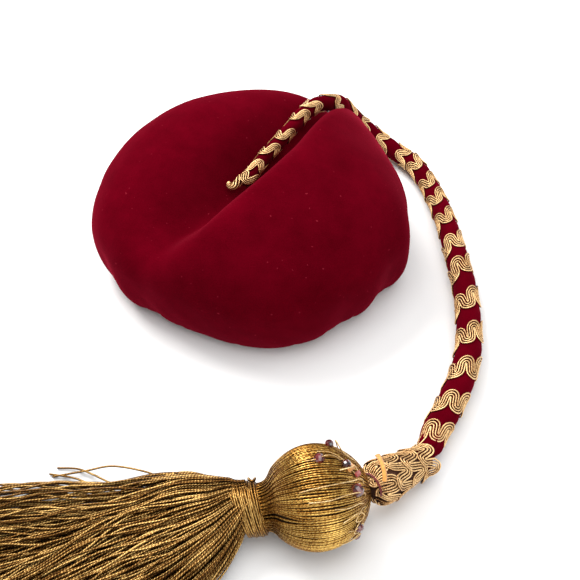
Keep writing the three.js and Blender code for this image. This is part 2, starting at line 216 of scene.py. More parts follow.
class Paint:
    # a material's nodes, with one Principled shader at the end
    def __init__(self, name, **constants):
        self.material = bpy.data.materials.new(name)
        self.material.use_nodes = True
        self.tree = self.material.node_tree
        self.tree.nodes.clear()
        self.shader = self.node("ShaderNodeBsdfPrincipled", {}, constants, whole=True)
        self.node("ShaderNodeOutputMaterial", {}, {"Surface": self.shader.outputs[0]}, whole=True)

    def node(self, kind, settings, inputs, output=0, whole=False):
        # settings first, a ramp's stops among them, then values and links
        node = self.tree.nodes.new(kind)
        for key, value in settings.items():
            if key == "stops":
                ramp = node.color_ramp
                for n, (place, color) in enumerate(value):
                    stop = ramp.elements[n] if n < 2 else ramp.elements.new(place)
                    stop.position, stop.color = place, (*color, 1)
            else:
                setattr(node, key, value)
        for key, value in inputs.items():
            source = value.socket if isinstance(value, Wire) else value
            if isinstance(source, bpy.types.NodeSocket):
                self.tree.links.new(source, node.inputs[key])
            else:
                node.inputs[key].default_value = source
        return node if whole else Wire(self, node.outputs[output])

    def place(self):
        # Object coordinates, in metres
        return self.node("ShaderNodeTexCoord", {}, {}, output="Object")

    def noise(self, scale, detail=3.0, rough=0.5, where=None):
        return self.node("ShaderNodeTexNoise", {}, {
            "Vector": where or self.place(), "Scale": scale, "Detail": detail, "Roughness": rough})

    def alongAndRound(self):
        # the tube's uv: mm along it, turns round it
        uv = self.node("ShaderNodeUVMap", {"uv_map": "UVMap"}, {})
        parts = self.node("ShaderNodeSeparateXYZ", {}, {"Vector": uv}, whole=True)
        return Wire(self, parts.outputs["X"]), Wire(self, parts.outputs["Y"])

    def tone(self):
        return self.node("ShaderNodeAttribute", {"attribute_name": "tone"}, {}, output="Fac")

    def ramp(self, factor, *stops):
        return self.node("ShaderNodeValToRGB", {"stops": stops}, {"Fac": factor})

    def blend(self, factor, first, second):
        # inputs 6 and 7 and output 2 are the Mix node's colours
        return self.node("ShaderNodeMix", {"data_type": "RGBA"}, {
            "Factor": factor, 6: first, 7: (*second, 1)}, output=2)

    def bump(self, height, depth, strength=1.0):
        # depth in metres for a height of 1
        return self.node("ShaderNodeBump", {}, {
            "Height": height, "Distance": depth, "Strength": strength})

    def set(self, **wires):
        for key, wire in wires.items():
            name = {"color": "Base Color", "rough": "Roughness", "normal": "Normal"}[key]
            self.tree.links.new(wire.socket, self.shader.inputs[name])
        return self.material


velvet = {
    "deep": (0.058, 0.0001, 0.0026), "light": (0.112, 0.0005, 0.0058), "lint": (0.17, 0.009, 0.018),
    "sheen": 0.23, "sheenRough": 0.4, "tint": (1.0, 0.06, 0.13),
}


def velvetMaterial(name, lift=1.0):
    # deep red pile: cloudy colour at 40 and 9 mm, grain at 0.8 mm, a little sheen, a few bits of lint
    paint = Paint(name, **{
        "Roughness": 1.0, "Sheen Weight": velvet["sheen"] * lift,
        "Sheen Roughness": velvet["sheenRough"], "Sheen Tint": (*velvet["tint"], 1),
        "Specular IOR Level": 0.0,
    })
    where = paint.place()
    cloud = paint.noise(24, 4, 0.6, where)
    patch = paint.noise(110, 3, 0.6, where)
    grain = paint.noise(1300, 2, 0.7, where)
    share = cloud * 0.5 + patch * 0.25 + grain * 0.3
    color = paint.ramp(share, (0.36, velvet["deep"]), (0.76, velvet["light"]))
    speck = paint.ramp(paint.noise(520, 0, 0.5, where), (0.835, (0, 0, 0)), (0.86, (1, 1, 1)))
    color = paint.blend(speck, color, velvet["lint"])
    height = grain * 0.6 + patch * 0.6
    return paint.set(color=color, normal=paint.bump(height, 0.0004, 0.5))


def backingMaterial():
    # the cloth's woven back: threads at 0.6 mm in two directions
    paint = Paint("velvetBack", **{"Roughness": 0.95, "Sheen Weight": 0.2, "Sheen Roughness": 0.5})
    where = paint.place()
    waves = [paint.node("ShaderNodeTexWave", {"wave_type": "BANDS", "bands_direction": d}, {
        "Vector": where, "Scale": 520, "Distortion": 1.2, "Detail": 1.0}) for d in ("X", "Y")]
    weave = waves[0] * waves[1]
    color = paint.ramp(weave * 0.6 + paint.noise(60, 3, 0.6, where) * 0.5,
                       (0.2, (0.05, 0.004, 0.006)), (0.8, (0.13, 0.012, 0.017)))
    return paint.set(color=color, normal=paint.bump(weave, 0.0003, 0.7))


def wrappedThread(name, look):
    # share = twist of the plies, a painted highlight on each ply and painted shade between them + painted
    # shade, lighter on the side that faces out and darker on the sides + painted glints drawn out along the
    # thread + cloud + the thread's own tone; the stops dark, mid and bright take it to a colour
    paint = Paint(name, **{"Metallic": look["metallic"], "Specular IOR Level": 0.5})
    along, turn = paint.alongAndRound()
    # the twist of the plies: in the colour a painted highlight on each ply and painted shade between them;
    # also in the roughness and the bump
    lay = (along * (tau / look["pitch"]) + turn * (tau * look["plies"])).sine() * 0.5 + 0.5
    # painted shade: lighter where the thread faces out, darker on its sides
    crestLiftAndPaintedShade = (turn * tau + tau / 4).sine()
    # painted glints drawn out along each thread, in the colour and in the roughness
    own = paint.node("ShaderNodeCombineXYZ", {}, {
        "X": along * (1 / look["glint"]), "Y": paint.tone() * 90, "Z": turn * 1.5})
    glint = paint.noise(1.0, 2, 0.7, own)
    cloud = paint.noise(look["cloud"], 3, 0.6)
    share = (lay * look["twistPaintedLightShare"] + crestLiftAndPaintedShade * look["crestLiftAndPaintedShade"] + (glint - 0.5) * look["sparkle"]
             + (cloud - 0.5) * 0.5 + (paint.tone() - 0.5) * look["own"] + look["base"])
    color = paint.ramp(share, (0.1, look["dark"]), (0.48, look["mid"]), (0.88, look["bright"]))
    shine = look["rough"] + (1 - lay) * 0.2 + (glint - 0.5) * 0.4
    return paint.set(color=color, rough=shine, normal=paint.bump(lay, look["depth"], 0.9))


def coreMaterial(name, color):
    # what lies under the threads: dull and dark, with fine lengthwise grain
    paint = Paint(name, **{"Roughness": 0.8})
    grain = paint.noise(900, 3, 0.7)
    low = tuple(c * 0.5 for c in color)
    return paint.set(color=paint.ramp(grain, (0.3, low), (0.7, color)), normal=paint.bump(grain, 0.0003))


def glassMaterial():
    # dark red glass with a duller streak
    paint = Paint("garnetGlass", **{
        "Roughness": 0.08, "Coat Weight": 1.0, "Coat Roughness": 0.03, "IOR": 1.55})
    streak = paint.noise(260, 2, 0.6)
    return paint.set(color=paint.ramp(streak, (0.35, (0.012, 0.003, 0.006)), (0.7, (0.16, 0.006, 0.006))))


def tapeMaterial(name, low, high):
    # fine ribbed cotton
    paint = Paint(name, **{"Roughness": 0.85, "Sheen Weight": 0.3, "Sheen Roughness": 0.5})
    along, turn = paint.alongAndRound()
    rib = (along * (tau / 0.45)).sine() * 0.5 + 0.5
    return paint.set(color=paint.ramp(rib * 0.5 + paint.noise(500) * 0.6, (0.25, low), (0.85, high)),
                     normal=paint.bump(rib, 0.00015, 0.8))


def secondMaterial(piece, rings, first):
    # a ring surface's second material, from a ring on and on the far cap
    around = rings.shape[1]
    marks = np.repeat(np.arange(len(rings) + 1) >= first, around)
    marks[-2 * around:-around] = False
    piece.data.polygons.foreach_set("material_index", marks.astype(np.int32))


def finish(piece, slot, materials, *nodes):
    # material, body, slot (not used) and the nodes that the piece stands for
    for material in materials:
        piece.data.materials.append(material)
    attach(piece, "root")
    if nodes:
        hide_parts(*nodes)
    print("piece", piece.name, len(piece.data.polygons))
    return piece


# Camera: 50 degrees above the floor, from the front, as the photograph

view = {"elevation": 50, "lens": 67.03, "place": (25.95, -506.98, 551.55)}

camera = bpy.data.objects.new("camera", bpy.data.cameras.new("camera"))
camera.data.lens = view["lens"]
camera.data.sensor_fit = "HORIZONTAL"
camera.data.clip_start = 0.01
camera.location = [v * mm for v in view["place"]]
camera.rotation_euler = (math.radians(90 - view["elevation"]), 0, 0)
bpy.context.scene.collection.objects.link(camera)
bpy.context.scene.camera = camera
print("camera placed")


# Stem: the cord, its route repeated from the part's source

stem = {
    "points": [
        (-6.2, -2.6, 58.2), (-0.2, 4.1, 58.2), (4.7, 14.0, 58.5), (9.3, 22.0, 58.9),
        (14.8, 30.0, 59.3), (24.1, 44.2, 60.0), (34.9, 62.8, 60.3), (41.2, 70.1, 60.3),
        (46.8, 74.1, 60.2), (52.0, 77.8, 58.3), (56.1, 82.7, 53.9), (60.5, 88.4, 48.7),
        (64.7, 92.8, 41.8), (68.7, 95.3, 34.7), (73.2, 95.8, 27.5), (78.9, 95.6, 21.4),
        (85.0, 93.9, 16.3), (91.5, 90.4, 12.6), (98.4, 85.1, 10.3), (105.3, 79.0, 9.2),
        (111.8, 72.9, 8.8), (117.0, 65.5, 8.7), (123.5, 50.9, 8.6), (129.1, 32.6, 8.8),
        (133.0, 13.8, 9.1), (136.3, -9.0, 9.3), (138.8, -31.9, 9.5), (140.6, -52.1, 9.7),
        (140.3, -73.2, 9.9), (138.8, -93.5, 10.1), (134.9, -112.4, 10.3), (129.0, -128.2, 10.4),
        (122.1, -142.9, 10.5), (115.5, -155.1, 10.7), (109.8, -165.9, 11.3), (106.6, -172.4, 11.9),
        (104.4, -177.4, 12.3),
    ],
    # distance along, radius
    "radius": [
        (0, 3.2), (8, 3.9), (30, 4.1), (60, 4.4), (85, 4.9), (110, 5.4), (190, 6.1),
        (240, 6.4), (300, 7.2), (360, 7.7), (420, 8.0), (442, 7.6), (453, 6.2), (458, 5.0),
    ],
    # distances along where a turn of the braid faces up
    "turns": [
        5, 16, 34, 50.5, 72, 86, 106, 133, 152, 172, 193,
        207, 227, 244, 264, 288, 310, 339, 367, 394, 421, 445, 467,
    ],
    "firstPitch": 10, "look": (0, -0.643, 0.766), "sides": 40, "step": 1.0,
    # velvet drawn in under the braid and swelling between its turns
    "groove": 0.45, "groovePart": 0.22, "bulge": 0.55, "even": (20, 60),
    # at the collar: more radius between two distances; pleats, phase, depth, distances
    "mouth": (0.7, 437, 447), "pleats": (5, 0.8, 0.9, 445, 455), "end": 458,
}


route, routeAt = smoothRoute(stem["points"])
stemLength = routeAt[-1]
turnRows = list(enumerate(stem["turns"]))


def stemPlace(s):
    # the cord's centre at distance s
    return onRoute(route, routeAt, s)


def aroundStem(s, angle, radius):
    # centre + radius * (cos angle * up + sin angle * side), across the direction over 4 mm, with up
    # towards the look direction
    along = unit(stemPlace(np.clip(s + 2, 0, stemLength)) - stemPlace(np.clip(s - 2, 0, stemLength)))
    look = np.array(stem["look"])
    up = unit(look - (along @ look)[..., None] * along)
    return stemPlace(s) + radius[..., None] * wheel(angle, up, np.cross(along, up))


def stemS(turn):
    # distance along the stem at a number of turns of the braid
    early = stem["turns"][0] + turn * stem["firstPitch"]
    return np.where(turn < 0, early, fromTable(turnRows, turn))


def turnAt(s):
    # how many turns the braid has made at distance s
    fine = np.linspace(-0.4, len(stem["turns"]) - 0.6, 4000)
    return np.interp(s, stemS(fine), fine)


def stemRadiusAt(s, angle):
    # table radius, drawn in under the braid and swelling between its turns
    turn = turnAt(s) - angle / tau
    off = np.abs(turn - np.round(turn))
    swell = stem["bulge"] * ease(off, 0.2, 0.5) - stem["groove"] * bell(off / stem["groovePart"])
    return fromTable(stem["radius"], s) + swell * ease(s, *stem["even"])


def stemPiece():
    # rings of the stem's radius, with cos(pleats * angle) added at the collar, drawn in at the tip
    s, angle = grid(np.linspace(0, stemLength, int(stemLength / stem["step"])), stem["sides"])
    more, start, full = stem["mouth"]
    radius = stemRadiusAt(s, angle) + ease(s, start, full) * more
    pleats, phase, depth, start, full = stem["pleats"]
    pleat = np.cos(pleats * angle + phase) * depth * ease(s, start, full)
    radius = radius + pleat * (1 - ease(s, full, stem["end"]) * 0.5)
    radius = radius * (1 - 0.7 * (1 - ease(s, -2, 4)))
    rings = aroundStem(s, angle, radius)
    piece = ringSurface("stemVelvet", rings, stemPlace(np.array(0.0)), stemPlace(np.array(stemLength)))
    return finish(piece, "velvet", [velvetMaterial("stemPile", 0.8)], "stem")


stemVelvet = stemPiece()
stemPath = [tuple(p * mm) for p in stemPlace(np.linspace(0, stemLength, 60))]


# Crown

crown = {
    "halfWidth": 101.5, "squareness": 2.1, "height": 92.5, "widestZ": 40, "hemRatio": 0.85,
    "roundness": 2.1, "wall": 3, "lip": 5, "shift": (1.9, -0.9),
    # turns round the crown, cosine part, sine part
    "waves": [(3, -0.027, -0.022), (4, 0.013, -0.007), (5, 0.008, -0.016)],
    # fold: middle, direction, bend, widths of the near side and the far side, share of the steep part
    "foldAt": (-0.1, -5.9), "foldTurn": 50, "foldBend": -7, "swell": (3.5, 68, 30),
    "near": [(-125, 15), (0, 15), (40, 13), (70, 11), (125, 9)],
    "farSteep": 26, "farWide": 66, "farMix": 0.55,
    # distance along the fold, depth
    "depth": [
        (-125, 0), (-102, 5), (-78, 17), (-50, 31), (-20, 41),
        (5, 45), (35, 44), (65, 40), (90, 34), (125, 22),
    ],
    "lobe": (5, -30, 24, 90),
    # where the fold runs out over the side: angle, depth, width in degrees, height, rise
    "notch": (56, 6, 8, 44, 20), "gatherHeight": 64,
    # angle, depth inward, width in degrees
    "gathers": [
        (14, 2, 5), (-9, 3.5, 6), (-22, -6, 6.5), (-33, 1.5, 4), (-43, -1.5, 5),
        (-54, 1.5, 4), (-66, -1.5, 6), (-80, -1.5, 10), (-108, 1, 8), (-133, 1.5, 4),
        (-143, -2.5, 6), (-153, 1.5, 4), (-163, -1.5, 6), (177, 3, 5), (160, -1.5, 8),
        (140, 2, 5), (115, 2, 6), (90, -1, 10), (62, 2, 5), (38, 2, 6),
    ],
    # finer pleats at the hem: angle, depth, width, reach upward
    "pleats": [
        (-15, 0.8, 1.3, 16), (-28, 1.0, 1.5, 20), (-38, 1.1, 1.4, 22), (-48, 0.9, 1.2, 18),
        (-60, 0.7, 1.6, 14), (-74, 0.6, 1.3, 12), (-96, 0.6, 1.5, 12), (-120, 0.7, 1.4, 16),
        (-130, 1.0, 1.5, 20), (-138, 0.9, 1.2, 20), (-149, 1.0, 1.4, 18), (-170, 0.8, 1.5, 16),
        (8, 1.0, 1.5, 20), (22, 0.7, 1.3, 15), (50, 0.8, 1.6, 16), (75, 0.8, 1.4, 14),
        (100, 0.8, 1.5, 16), (128, 0.9, 1.4, 15), (150, 0.8, 1.5, 16), (170, 0.8, 1.3, 15),
    ],
    # columns; rows above and below the widest place; rows of the hem, and of the cloth's back there
    "around": 360, "outer": (104, 34), "inner": (56, 12), "roll": 9, "backRows": 2,
}


def crownPoint(theta, u):
    # u 0 at the top, 1 at the widest place, 2 at the hem: a waved superellipse in plan, a rounded
    # dome in height, less the fold's depth * bell of the distance across it
    c, s = np.cos(theta), np.sin(theta)
    q = crown["squareness"]
    reach = (np.abs(c / crown["halfWidth"])**q + np.abs(s / crown["halfWidth"])**q)**(-1 / q)
    reach = reach * (1 + sum(a * np.cos(n * theta) + b * np.sin(n * theta) for n, a, b in crown["waves"]))
    top, low = np.clip(u, 0, 1) * tau / 4, np.clip(u - 1, 0, 1) * tau / 4
    hem, wide = crown["hemRatio"], crown["widestZ"]
    rho = np.where(u <= 1, np.sin(top)**(2 / crown["roundness"]), hem + (1 - hem) * np.cos(low))
    z = np.where(u <= 1, wide + (crown["height"] - wide) * np.cos(top), wide * (1 - np.sin(low)))
    x = rho * reach * c + crown["shift"][0]
    y = rho * reach * s + crown["shift"][1]
    turn = math.radians(crown["foldTurn"])
    dx, dy = x - crown["foldAt"][0], y - crown["foldAt"][1]
    along = dx * math.cos(turn) + dy * math.sin(turn)
    across = dy * math.cos(turn) - dx * math.sin(turn) + crown["foldBend"] * (along / 80)**2
    swell, swellAt, swellLength = crown["swell"]
    across = across - swell * bell((along - swellAt) / swellLength)
    far = crown["farMix"] * bell(across / crown["farSteep"]) + (1 - crown["farMix"]) * bell(
        across / crown["farWide"])
    shape = np.where(across >= 0, far, bell(across / fromTable(crown["near"], along)))
    share = np.clip((z - wide) / (crown["height"] - wide), 0, 1)**0.7
    lift, at, width, length = crown["lobe"]
    z = z - fromTable(crown["depth"], along) * shape * share
    z = z + lift * share * bell((across - at) / width) * bell(along / length)
    low = np.clip(1 - z / crown["gatherHeight"], 0, 1)
    shrink = np.ones_like(x)
    for angle, depth, width in crown["gathers"]:
        shrink = shrink * (1 - depth * bell(degreesOff(theta, angle) / width) * low / reach)
    angle, depth, width, at, rise = crown["notch"]
    shrink = shrink * (1 - depth * bell(degreesOff(theta, angle) / width) * bell((z - at) / rise) / reach)
    for angle, depth, width, rise in crown["pleats"]:
        shrink = shrink * (1 - depth * bell(degreesOff(theta, angle) / width) * bell(z / rise) / reach)
    return np.stack([x * shrink, y * shrink, z], -1)


def crownNormal(theta, u):
    # cross product of a small step down and a small step round
    e = 0.004
    down = crownPoint(theta, np.clip(u + e, 0.02, 2)) - crownPoint(theta, np.clip(u - e, 0.01, 2))
    normal = unit(np.cross(down, crownPoint(theta + e, u) - crownPoint(theta - e, u)))
    return np.where((u >= 2)[..., None], np.array([0, 0, -1.0]), normal)


def softness(p):
    # slow unevenness of stuffed cloth: sines of the place, a few tenths of a mm
    x, y, z = p[..., 0], p[..., 1], p[..., 2]
    return (0.30 * np.sin(x / 11 + y / 17 + 1.3) * np.sin(y / 13 - z / 19)
            + 0.22 * np.sin(x / 6.1 - y / 7.3 + z / 9 + 0.7) * np.sin(x / 15 + z / 8))


def crownRows(upper, lower):
    # u from just below the top to the widest place, and on to the hem
    return np.append(np.linspace(0, 1, upper + 1)[1:], 1 + np.linspace(0, 1, lower + 1)[1:])


def crownPiece():
    # inner face the wall behind the outer one, hem a half circle of the wall's thickness, outer face
    u, theta = grid(crownRows(*crown["outer"]), crown["around"])
    outer = crownPoint(theta, u)
    still = ease(outer[..., 2], 0, 12)[..., None]
    outer = outer + crownNormal(theta, u) * softness(outer)[..., None] * still
    u, theta = grid(crownRows(*crown["inner"]), crown["around"])
    inner = crownPoint(theta, u) - crown["wall"] * crownNormal(theta, u)
    hem = outer[-1]
    out = hem[:, :2] / np.linalg.norm(hem[:, :2], axis=1, keepdims=True)
    half = crown["wall"] / 2
    turns = np.linspace(math.pi, 0, crown["roll"])
    roll = np.stack([np.concatenate([
        hem[:, :2] - out * (crown["lip"] - half + half * math.sin(a)),
        np.full((len(hem), 1), half - half * math.cos(a))], 1) for a in turns])
    rings = np.concatenate([inner, roll, outer[::-1]])
    top = crownPoint(np.array(0.0), np.array(0.0))
    topNormal = crownNormal(np.array(0.0), np.array(0.03))
    piece = ringSurface("crownVelvet", rings, top - crown["wall"] * topNormal, top)
    finish(piece, "velvet", [backingMaterial(), velvetMaterial("crownPile")], "crown")
    secondMaterial(piece, rings, len(inner) + crown["backRows"])


crownPiece()


# Braid: gold cords in nested arcs, over the top and under the bottom of a band in turn

gimp = {
    # half a wave, smallest arc, cord radius
    "half": 6.0, "small": 0.35, "cordRadius": 0.5, "cords": 4,
    # lean of the waves, height of the cords over the velvet, more of it at the band's edges
    "skew": 0.3, "lift": 0.7, "crestLiftAndPaintedShade": 0.25, "edge": 7.6, "midline": 0.6,
    "samples": 6000, "onArc": 11, "onLine": 4, "sides": 8, "tone": [0.5, 0.62, 0.56, 0.86],
    "first": -0.3, "last": 21.35,
    # turn, how far outward an arc's centre lies, cord spacing
    "spread": [
        (0, 0.8, 1.3), (7, 0.8, 1.3), (11, 1.1, 1.38), (14, 1.4, 1.45), (15.5, 2.1, 1.6), (22, 2.2, 1.6),
    ],
    # turn, how far along the braid the waves are drawn out
    "drawn": [(0, 0), (6, 2), (12, 4.7), (14, 4.8), (15, 6.2), (16, 12), (17, 15.5), (18, 15.8),
              (19, 21), (20, 21.8), (22, 22.6)],
}
# besides colours, a look weighs the painted shade on a cord's sides, the painted twist highlights and the
# painted glints
gimpLook = {
    "dark": (0.03, 0.008, 0.002), "mid": (0.35, 0.145, 0.037), "bright": (0.97, 0.66, 0.32),
    "metallic": 0.8, "rough": 0.27, "pitch": 0.9, "plies": 1, "depth": 0.00012, "cloud": 70,
    "glint": 1.1, "sparkle": 0.9, "crestLiftAndPaintedShade": 0.6, "twistPaintedLightShare": 0.16, "base": 0.1, "own": 0.5,
}


def scrollBand(sAt, radiusAt, surface, first, last, spread, size=1.0, flare=0.0, ride=0.0, drawn=None):
    # each cord: an arc of radius r over even centres (k half, out), of both - r under odd centres
    # (k half, -out), joined by lines that touch both circles: cos t = both / distance of the centres
    half, small = gimp["half"] * size, gimp["small"] * size
    cords, onArc, onLine = gimp["cords"], gimp["onArc"], gimp["onLine"]
    turn = np.linspace(first, last, gimp["samples"])
    s = sAt(turn)
    length = np.append(0, np.cumsum(np.hypot(np.diff(s), np.diff(turn) * tau * radiusAt(s)[1:])))
    drawn = drawn or [(0, 0), (1, 0)]
    count = int((length[-1] - drawn[-1][1]) / half)
    k = np.arange(count)[None, :, None]
    even = np.where(k % 2, -1, 1)
    rows = np.array(spread, float).T
    out, spacing = (size * np.interp(np.interp((k + 0.5) * half, length, turn), rows[0], row)
                    for row in rows[1:])
    both = 2 * small + (cords - 1) * spacing
    leave = np.arccos(both / np.hypot(half, 2 * out)) - np.arctan2(2 * out, half)
    reach = small + spacing * np.arange(cords)[:, None, None]
    reach = np.where(k % 2, both - reach, reach)
    way = math.pi - leave - np.linspace(0, 1, onArc)[None, None, :] * (math.pi - 2 * leave)
    arcX = (k + 0.5) * half + reach * np.cos(way)
    arcY = even * (out + reach * np.sin(way))
    share = (np.arange(onLine) / onLine)[1:]
    lineX = arcX[:, :-1, -1:] + share * (arcX[:, 1:, :1] - arcX[:, :-1, -1:])
    lineY = arcY[:, :-1, -1:] + share * (arcY[:, 1:, :1] - arcY[:, :-1, -1:])
    lineX = np.concatenate([lineX, arcX[:, -1:, -1:] + 0 * lineX[:, :1]], 1)
    lineY = np.concatenate([lineY, arcY[:, -1:, -1:] - even[:, -1:] * (share * 1.5)], 1)
    across = np.concatenate([arcY, lineY], 2).reshape(cords, -1)
    along = np.concatenate([arcX, lineX], 2).reshape(cords, -1) + gimp["skew"] * across
    drawnOut = np.interp(np.interp(along, length, turn), *np.array(drawn, float).T)
    inside = np.clip(along + drawnOut, 0.2, length[-1] - 0.2)
    atTurn = np.interp(inside, length, turn)
    slant = np.interp(inside, length, np.gradient(s, length))
    atS = sAt(atTurn) + across * np.sqrt(np.clip(1 - slant**2, 0, 1))
    angle = atTurn * tau - across * slant / radiusAt(atS)
    farthest = gimp["edge"] * size
    lift = gimp["lift"] + gimp["crestLiftAndPaintedShade"] * (np.abs(across) / farthest)**2
    lift = lift + ride * ease(-across, -2, farthest)
    lift = lift + flare * ease(along, length[-1] - 1.6 * half, length[-1])
    centre = surface(atS, angle, lift)
    return centre, centre - surface(atS, angle, lift - 1)


def braidPiece():
    surface = lambda s, angle, lift: aroundStem(s, angle, stemRadiusAt(s, angle) + lift)
    radiusAt = lambda s: fromTable(stem["radius"], s) + gimp["midline"]
    centre, outward = scrollBand(stemS, radiusAt, surface, gimp["first"], gimp["last"], gimp["spread"],
                                 drawn=gimp["drawn"])
    piece = tubes("stemBraidCords", centre, outward, gimp["cordRadius"], gimp["sides"], gimp["tone"])
    return finish(piece, "gimp", [gimpMaterial], "stem_braid")


gimpMaterial = wrappedThread("gimpCord", gimpLook)
stemBraid = braidPiece()


# Collar and curled tip, wound with the same braid

collar = {
    "ends": ((70.8, -205.9, 22.4), (101.9, -182.2, 12.4)), "length": 42.5,
    # distance from the ball end, radius
    "profile": [
        (0, 5), (2, 9.5), (5, 11.4), (9, 11.8), (14, 11.0), (19, 10.6), (24, 9.6), (29, 9.2),
        (34, 8.3), (38, 7.9), (41, 8.4), (42.5, 8.2),
    ],
    # core: rings, sides, depth and more depth between two distances; where the mouth's velvet starts
    "rings": 60, "sides": 40, "sink": (0.5, 1.0, 34, 38), "cuff": 33,
    # distance along between turns of the band, where it starts and ends, size, turns
    "pitch": 11.6, "from": 3.5, "phase": 0.32, "within": (0.6, 39.0), "size": 1.02,
    "first": -0.4, "last": 3.62, "spread": [(0, 2.1, 1.5), (4, 2.1, 1.5)], "cordRadius": 0.53,
    # stand of the last arc, and of the band's edge towards the ball
    "flare": 1.8, "ride": 0.6,
}
collarLook = dict(gimpLook, mid=(0.31, 0.125, 0.03), bright=(0.93, 0.63, 0.30))


def collarPlace(s, angle, lift):
    # the point at distance s along the axis, out to the profile's radius plus lift
    return aroundAxis(collar["ends"], s, angle, fromTable(collar["profile"], s) + lift)


def collarPieces():
    # core: the profile turned round the axis; cords: the scrolled band wound round it
    s, angle = grid(np.linspace(0, collar["length"], collar["rings"]), collar["sides"])
    deep, more, start, full = collar["sink"]
    rings = collarPlace(s, angle, -deep - more * ease(s, start, full))
    core = ringSurface("collarCore", rings, np.array(collar["ends"][0]), rings[-1].mean(0))
    under = coreMaterial("collarUnder", (0.12, 0.035, 0.012))
    finish(core, "gimp", [under, velvetMaterial("cuffPile", 0.8)], "collar")
    secondMaterial(core, rings, collar["cuff"] / collar["length"] * (collar["rings"] - 1))
    sAt = lambda turn: np.clip(collar["from"] + (turn - collar["phase"]) * collar["pitch"], *collar["within"])
    radiusAt = lambda s: fromTable(collar["profile"], s) + gimp["midline"]
    centre, outward = scrollBand(sAt, radiusAt, collarPlace, collar["first"], collar["last"],
                                 collar["spread"], collar["size"], collar["flare"], collar["ride"])
    cords = tubes("collarCords", centre, outward, collar["cordRadius"], gimp["sides"], gimp["tone"])
    finish(cords, "gimp", [collarMaterial])
    return core, cords


collarMaterial = wrappedThread("collarCord", collarLook)
collarCore, collarCords = collarPieces()


tip = {
    "line": [
        (-5.2, 0.9, 59.2), (-7.0, -1.1, 58.5), (-8.8, -3.0, 58.0), (-10.6, -4.8, 57.8),
        (-12.6, -5.6, 58.4), (-13.6, -5.0, 60.0), (-12.8, -4.2, 61.0),
    ],
    # twist in radians over the whole line; distance from it at its start, how fast that falls, its least
    "twist": 4.2, "wide": 2.5, "taper": 0.8, "least": 0.55, "cordRadius": 0.62, "sides": 8,
    "tone": [0.8, 0.5, 0.7, 0.4, 0.8, 0.5],
}


def tipPiece():
    # six cords that twist together along a short curled line, closer and closer to it
    curve, at = smoothRoute(tip["line"], 16)
    share = at / at[-1]
    along = unit(np.gradient(curve, axis=0))
    side = unit(np.cross(along, [0, 0, 1.0]))
    cords = len(tip["tone"])
    angle = np.arange(cords)[:, None] * tau / cords + share * tip["twist"]
    out = tip["wide"] * (1 - share) ** tip["taper"] + tip["least"]
    centre = curve + out[:, None] * wheel(angle, side, np.cross(side, along))
    return finish(tubes("tipCords", centre, centre - curve, tip["cordRadius"], tip["sides"], tip["tone"]),
                  "gimp", [gimpMaterial], "stem_tip")


tipCords = tipPiece()


# Tassel ball: threads laid from the neck to the collar over a padded core

ball = {
    "centre": (40.1, -215.9, 29.5), "radius": 28.9, "turn": 8.5, "sag": (0, 4, -7),
    "padding": 1.5, "coreRows": 48, "coreSides": 64,
    "threads": 126, "threadRadius": 0.64, "steps": 64, "sides": 7,
    # degrees from the collar end: a thread's run, and where it leaves the ball for the neck
    "run": (10, 168), "leaves": (141, 160), "inNeck": 8, "neckRadius": 11.9,
    # each thread's own place in its share of the turn, and its waves: size in radians, waves
    "uneven": 0.09, "wander": [(0.009, 2.3), (0.005, 5.1)],
    # threads pushed apart towards the neck: angle round, push and reach in radians, degrees
    "gapAt": 146, "gap": (0.11, 0.35, 105, 150),
}
chance = np.random.default_rng(7)


def ballPlace(polar, azimuth, radius):
    # centre + axis r cos(polar) + (side cos(azimuth) + up sin(azimuth)) r sin(polar) + sag cos^2(polar)
    # with polar from the collar end
    turn = math.radians(ball["turn"])
    axis = np.array([math.cos(turn), math.sin(turn), 0])
    side = np.array([-math.sin(turn), math.cos(turn), 0])
    c, s = np.cos(polar)[..., None], np.sin(polar)[..., None]
    r = np.asarray(radius)[..., None]
    return (np.array(ball["centre"]) + axis * r * c + wheel(azimuth, side, np.array([0, 0, 1.0])) * r * s
            + np.array(ball["sag"]) * c * c)


neck = {
    "ends": ((11.2, -216.6, 19.0), (-3.2, -217.6, 18.2)), "length": 14.4, "radius": 14.4,
    # core: from, to, depth under the windings
    "core": (1, 11.9, 1.6), "thread": 0.62, "sides": 8, "steps": 700,
    # the windings' start and end along the neck, lift, phase, turns
    "windings": [(0.2, 14.2, 0.0, 0.0, 13), (13.2, 1.0, 1.15, 2.1, 10.4)],
    # the windings lean: how far at the ball, how much more at the skirt, towards which angle
    "lean": (2.2, 1.6, 140),
    # knotted loop: distance along, angle, half length, slant, half width in radians, stand, radius
    "knot": (5.0, 149, 1.8, 0.5, 0.34, 1.35, 0.75),
}


def neckPlace(s, angle, radius):
    # the point at distance s from the ball's end, radius out at an angle
    return aroundAxis(neck["ends"], s, angle, radius)


